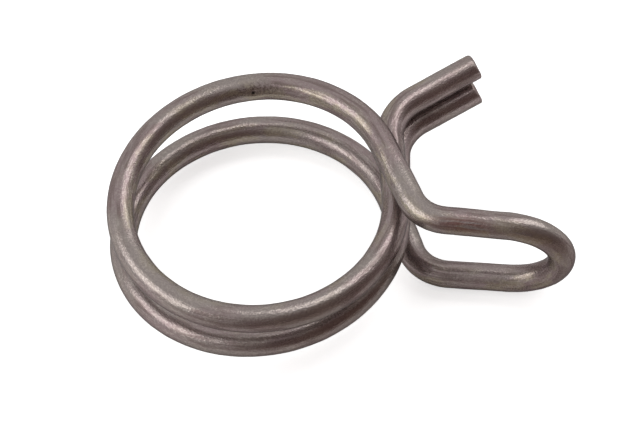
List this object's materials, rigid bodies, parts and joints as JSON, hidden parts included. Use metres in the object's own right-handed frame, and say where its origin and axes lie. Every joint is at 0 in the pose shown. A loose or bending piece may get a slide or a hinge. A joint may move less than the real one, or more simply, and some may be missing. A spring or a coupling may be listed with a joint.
{
  "type": "hose clamp",
  "caption": "Double-wire spring hose clamp bent from round steel wire. Its rings open when the looped tang and the end tangs are squeezed together.",
  "frame": {"origin": "under the middle of the clamp's outline, on the surface that it lies on", "axes": "+Z along the axis of the rings, +X along the looped tang, away from the rings"},
  "size_m": [0.051, 0.039, 0.0136],
  "materials": {
    "spring_steel": "satin, drawn wire with a warm grey-brown tint"
  },
  "bodies": {
    "looped_tang": {"loop_bend": "spring_steel", "upper_leg": "spring_steel", "upper_foot_bend": "spring_steel", "upper_shoulder": "spring_steel", "lower_leg": "spring_steel", "lower_foot_bend": "spring_steel", "lower_shoulder": "spring_steel"},
    "upper_ring_01": {"upper_ring_01": "spring_steel"},
    "upper_ring_02": {"upper_ring_02": "spring_steel"},
    "upper_ring_03": {"upper_ring_03": "spring_steel"},
    "upper_ring_04": {"upper_ring_04": "spring_steel"},
    "upper_ring_05": {"upper_ring_05": "spring_steel"},
    "upper_ring_06": {"upper_ring_06": "spring_steel"},
    "upper_ring_07": {"upper_ring_07": "spring_steel"},
    "upper_ring_08": {"upper_ring_08": "spring_steel"},
    "upper_ring_09": {"upper_ring_09": "spring_steel"},
    "upper_ring_10": {"upper_ring_10": "spring_steel"},
    "upper_end_tang": {"upper_neck": "spring_steel", "upper_end_bend": "spring_steel", "upper_end_tang": "spring_steel"},
    "lower_ring_01": {"lower_ring_01": "spring_steel"},
    "lower_ring_02": {"lower_ring_02": "spring_steel"},
    "lower_ring_03": {"lower_ring_03": "spring_steel"},
    "lower_ring_04": {"lower_ring_04": "spring_steel"},
    "lower_ring_05": {"lower_ring_05": "spring_steel"},
    "lower_ring_06": {"lower_ring_06": "spring_steel"},
    "lower_ring_07": {"lower_ring_07": "spring_steel"},
    "lower_ring_08": {"lower_ring_08": "spring_steel"},
    "lower_ring_09": {"lower_ring_09": "spring_steel"},
    "lower_ring_10": {"lower_ring_10": "spring_steel"},
    "lower_end_tang": {"lower_neck": "spring_steel", "lower_end_bend": "spring_steel", "lower_end_tang": "spring_steel"}
  },
  "joints": [
    {"name": "upper_flex_01", "type": "hinge", "parent": "looped_tang", "child": "upper_ring_01", "pos_m": [0.00395, 0.00405, 0.0121], "axis": [0, 0, -1], "range_deg": [-0.5, 1.55]},
    {"name": "upper_flex_02", "type": "hinge", "parent": "upper_ring_01", "child": "upper_ring_02", "pos_m": [-0.00239, 0.00984, 0.01186], "axis": [0, 0, -1], "range_deg": [-0.5, 1.7]},
    {"name": "upper_flex_03", "type": "hinge", "parent": "upper_ring_02", "child": "upper_ring_03", "pos_m": [-0.01088, 0.01106, 0.01151], "axis": [0, 0, -1], "range_deg": [-0.5, 2.3]},
    {"name": "upper_flex_04", "type": "hinge", "parent": "upper_ring_03", "child": "upper_ring_04", "pos_m": [-0.0186, 0.0073, 0.01116], "axis": [0, 0, -1], "range_deg": [-0.5, 3.1]},
    {"name": "upper_flex_05", "type": "hinge", "parent": "upper_ring_04", "child": "upper_ring_05", "pos_m": [-0.02287, -0.00015, 0.01081], "axis": [0, 0, -1], "range_deg": [-0.5, 3.85]},
    {"name": "squeeze", "type": "hinge", "parent": "upper_ring_05", "child": "upper_ring_06", "pos_m": [-0.02221, -0.00871, 0.01046], "axis": [0, 0, -1], "range_deg": [0, 3.7], "stiffness_Nm_per_rad": 0.01},
    {"name": "upper_flex_07", "type": "hinge", "parent": "upper_ring_06", "child": "upper_ring_07", "pos_m": [-0.01685, -0.01542, 0.01011], "axis": [0, 0, -1], "range_deg": [-0.5, 4.25]},
    {"name": "upper_flex_08", "type": "hinge", "parent": "upper_ring_07", "child": "upper_ring_08", "pos_m": [-0.00865, -0.01796, 0.00976], "axis": [0, 0, -1], "range_deg": [-0.5, 3.75]},
    {"name": "upper_flex_09", "type": "hinge", "parent": "upper_ring_08", "child": "upper_ring_09", "pos_m": [-0.00044, -0.01545, 0.00941], "axis": [0, 0, -1], "range_deg": [-0.5, 3]},
    {"name": "upper_flex_10", "type": "hinge", "parent": "upper_ring_09", "child": "upper_ring_10", "pos_m": [0.00494, -0.00876, 0.00906], "axis": [0, 0, -1], "range_deg": [-0.5, 2.15]},
    {"name": "upper_flex_11", "type": "hinge", "parent": "upper_ring_10", "child": "upper_end_tang", "pos_m": [0.00563, -0.0002, 0.00871], "axis": [0, 0, -1], "range_deg": [-0.5, 1.65]},
    {"name": "lower_flex_01", "type": "hinge", "parent": "looped_tang", "child": "lower_ring_01", "pos_m": [0.00415, 0.00417, 0.0015], "axis": [0, 0, -1], "range_deg": [-0.5, 1.55]},
    {"name": "lower_flex_02", "type": "hinge", "parent": "lower_ring_01", "child": "lower_ring_02", "pos_m": [-0.00181, 0.01053, 0.00174], "axis": [0, 0, -1], "range_deg": [-0.5, 1.7]},
    {"name": "lower_flex_03", "type": "hinge", "parent": "lower_ring_02", "child": "lower_ring_03", "pos_m": [-0.01032, 0.01243, 0.00209], "axis": [0, 0, -1], "range_deg": [-0.5, 2.3]},
    {"name": "lower_flex_04", "type": "hinge", "parent": "lower_ring_03", "child": "lower_ring_04", "pos_m": [-0.01842, 0.00922, 0.00244], "axis": [0, 0, -1], "range_deg": [-0.5, 3.1]},
    {"name": "lower_flex_05", "type": "hinge", "parent": "lower_ring_04", "child": "lower_ring_05", "pos_m": [-0.02331, 0.00201, 0.00279], "axis": [0, 0, -1], "range_deg": [-0.5, 3.85]},
    {"name": "lower_flex_06", "type": "hinge", "parent": "lower_ring_05", "child": "lower_ring_06", "pos_m": [-0.02329, -0.00671, 0.00314], "axis": [0, 0, -1], "range_deg": [-0.5, 4.25]},
    {"name": "lower_flex_07", "type": "hinge", "parent": "lower_ring_06", "child": "lower_ring_07", "pos_m": [-0.01837, -0.0139, 0.00349], "axis": [0, 0, -1], "range_deg": [-0.5, 4.25]},
    {"name": "lower_flex_08", "type": "hinge", "parent": "lower_ring_07", "child": "lower_ring_08", "pos_m": [-0.01025, -0.01708, 0.00384], "axis": [0, 0, -1], "range_deg": [-0.5, 3.75]},
    {"name": "lower_flex_09", "type": "hinge", "parent": "lower_ring_08", "child": "lower_ring_09", "pos_m": [-0.00176, -0.01514, 0.00419], "axis": [0, 0, -1], "range_deg": [-0.5, 3]},
    {"name": "lower_flex_10", "type": "hinge", "parent": "lower_ring_09", "child": "lower_ring_10", "pos_m": [0.00417, -0.00875, 0.00454], "axis": [0, 0, -1], "range_deg": [-0.5, 2.15]},
    {"name": "lower_flex_11", "type": "hinge", "parent": "lower_ring_10", "child": "lower_end_tang", "pos_m": [0.00548, -0.00013, 0.00489], "axis": [0, 0, -1], "range_deg": [-0.5, 1.65]}
  ],
  "couplings": [
    {"joint": "upper_flex_01", "follows": "squeeze", "ratio": 0.26},
    {"joint": "upper_flex_02", "follows": "squeeze", "ratio": 0.31},
    {"joint": "upper_flex_03", "follows": "squeeze", "ratio": 0.47},
    {"joint": "upper_flex_04", "follows": "squeeze", "ratio": 0.68},
    {"joint": "upper_flex_05", "follows": "squeeze", "ratio": 0.89},
    {"joint": "upper_flex_07", "follows": "squeeze", "ratio": 0.99},
    {"joint": "upper_flex_08", "follows": "squeeze", "ratio": 0.86},
    {"joint": "upper_flex_09", "follows": "squeeze", "ratio": 0.65},
    {"joint": "upper_flex_10", "follows": "squeeze", "ratio": 0.43},
    {"joint": "upper_flex_11", "follows": "squeeze", "ratio": 0.29},
    {"joint": "lower_flex_01", "follows": "squeeze", "ratio": 0.26},
    {"joint": "lower_flex_02", "follows": "squeeze", "ratio": 0.31},
    {"joint": "lower_flex_03", "follows": "squeeze", "ratio": 0.47},
    {"joint": "lower_flex_04", "follows": "squeeze", "ratio": 0.68},
    {"joint": "lower_flex_05", "follows": "squeeze", "ratio": 0.89},
    {"joint": "lower_flex_06", "follows": "squeeze", "ratio": 1},
    {"joint": "lower_flex_07", "follows": "squeeze", "ratio": 0.99},
    {"joint": "lower_flex_08", "follows": "squeeze", "ratio": 0.86},
    {"joint": "lower_flex_09", "follows": "squeeze", "ratio": 0.65},
    {"joint": "lower_flex_10", "follows": "squeeze", "ratio": 0.43},
    {"joint": "lower_flex_11", "follows": "squeeze", "ratio": 0.29}
  ]
}
